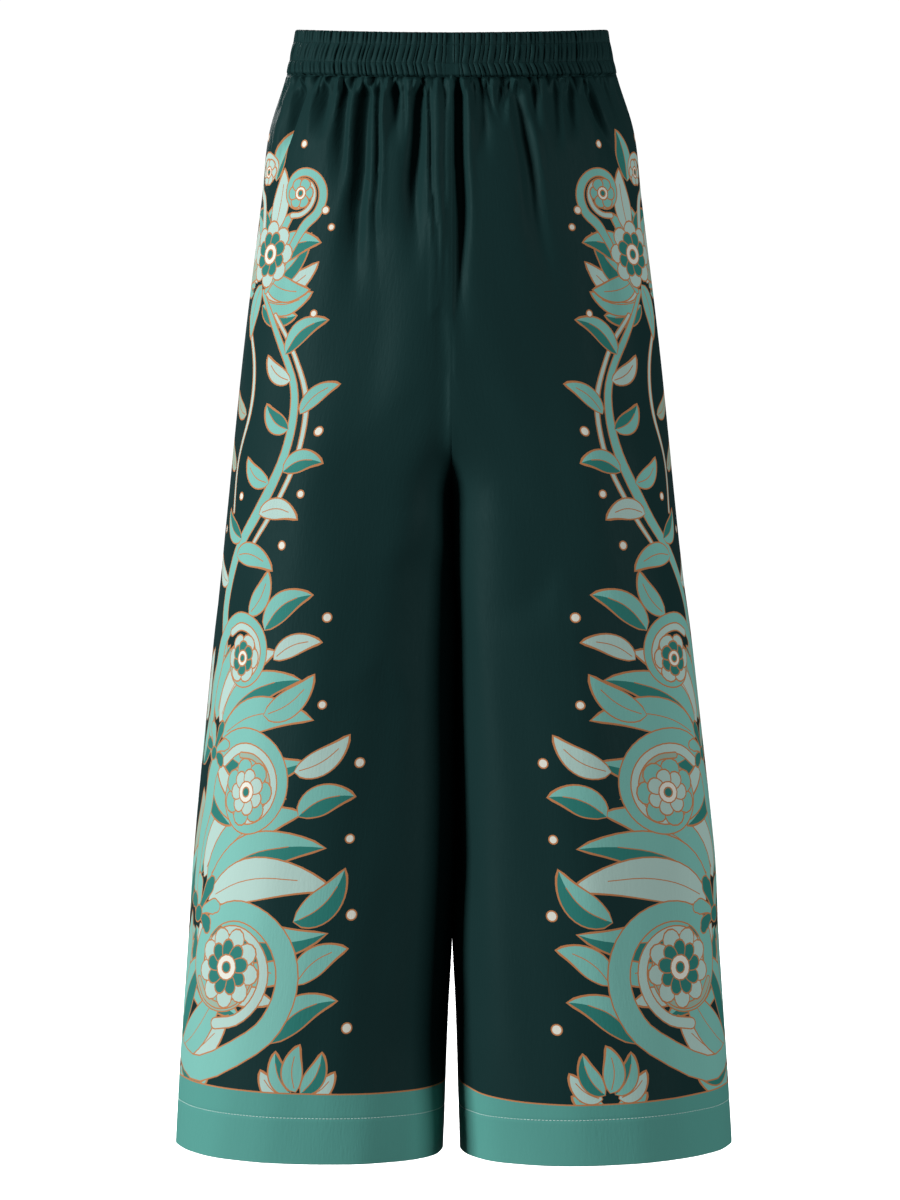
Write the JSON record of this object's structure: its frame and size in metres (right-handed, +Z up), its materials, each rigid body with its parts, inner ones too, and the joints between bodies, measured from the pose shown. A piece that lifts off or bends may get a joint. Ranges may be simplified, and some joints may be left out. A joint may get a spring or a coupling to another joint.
{
  "type": "palazzo pants",
  "caption": "Wide-leg silk palazzo pants with a shirred elastic waistband, a dark ground and pale borders, hollow and filled out as worn.",
  "frame": {"origin": "middle of the waist opening, level with its edge at the side seams", "axes": "+Z up, the front of the pants faces -Y, and the wearer's left leg is at +X"},
  "size_m": [0.512, 0.2545, 1.0296],
  "materials": {
    "printed_silk": "satin silk twill, dark bottle green",
    "plain_silk": "satin silk twill, gathered on elastic"
  },
  "bodies": {
    "root": {"front_leg_right": "printed_silk", "front_leg_left": "printed_silk", "back_leg_right": "printed_silk", "back_leg_left": "printed_silk", "waistband_front_right": "plain_silk", "waistband_front_left": "plain_silk", "waistband_back_right": "plain_silk", "waistband_back_left": "plain_silk"}
  },
  "joints": []
}
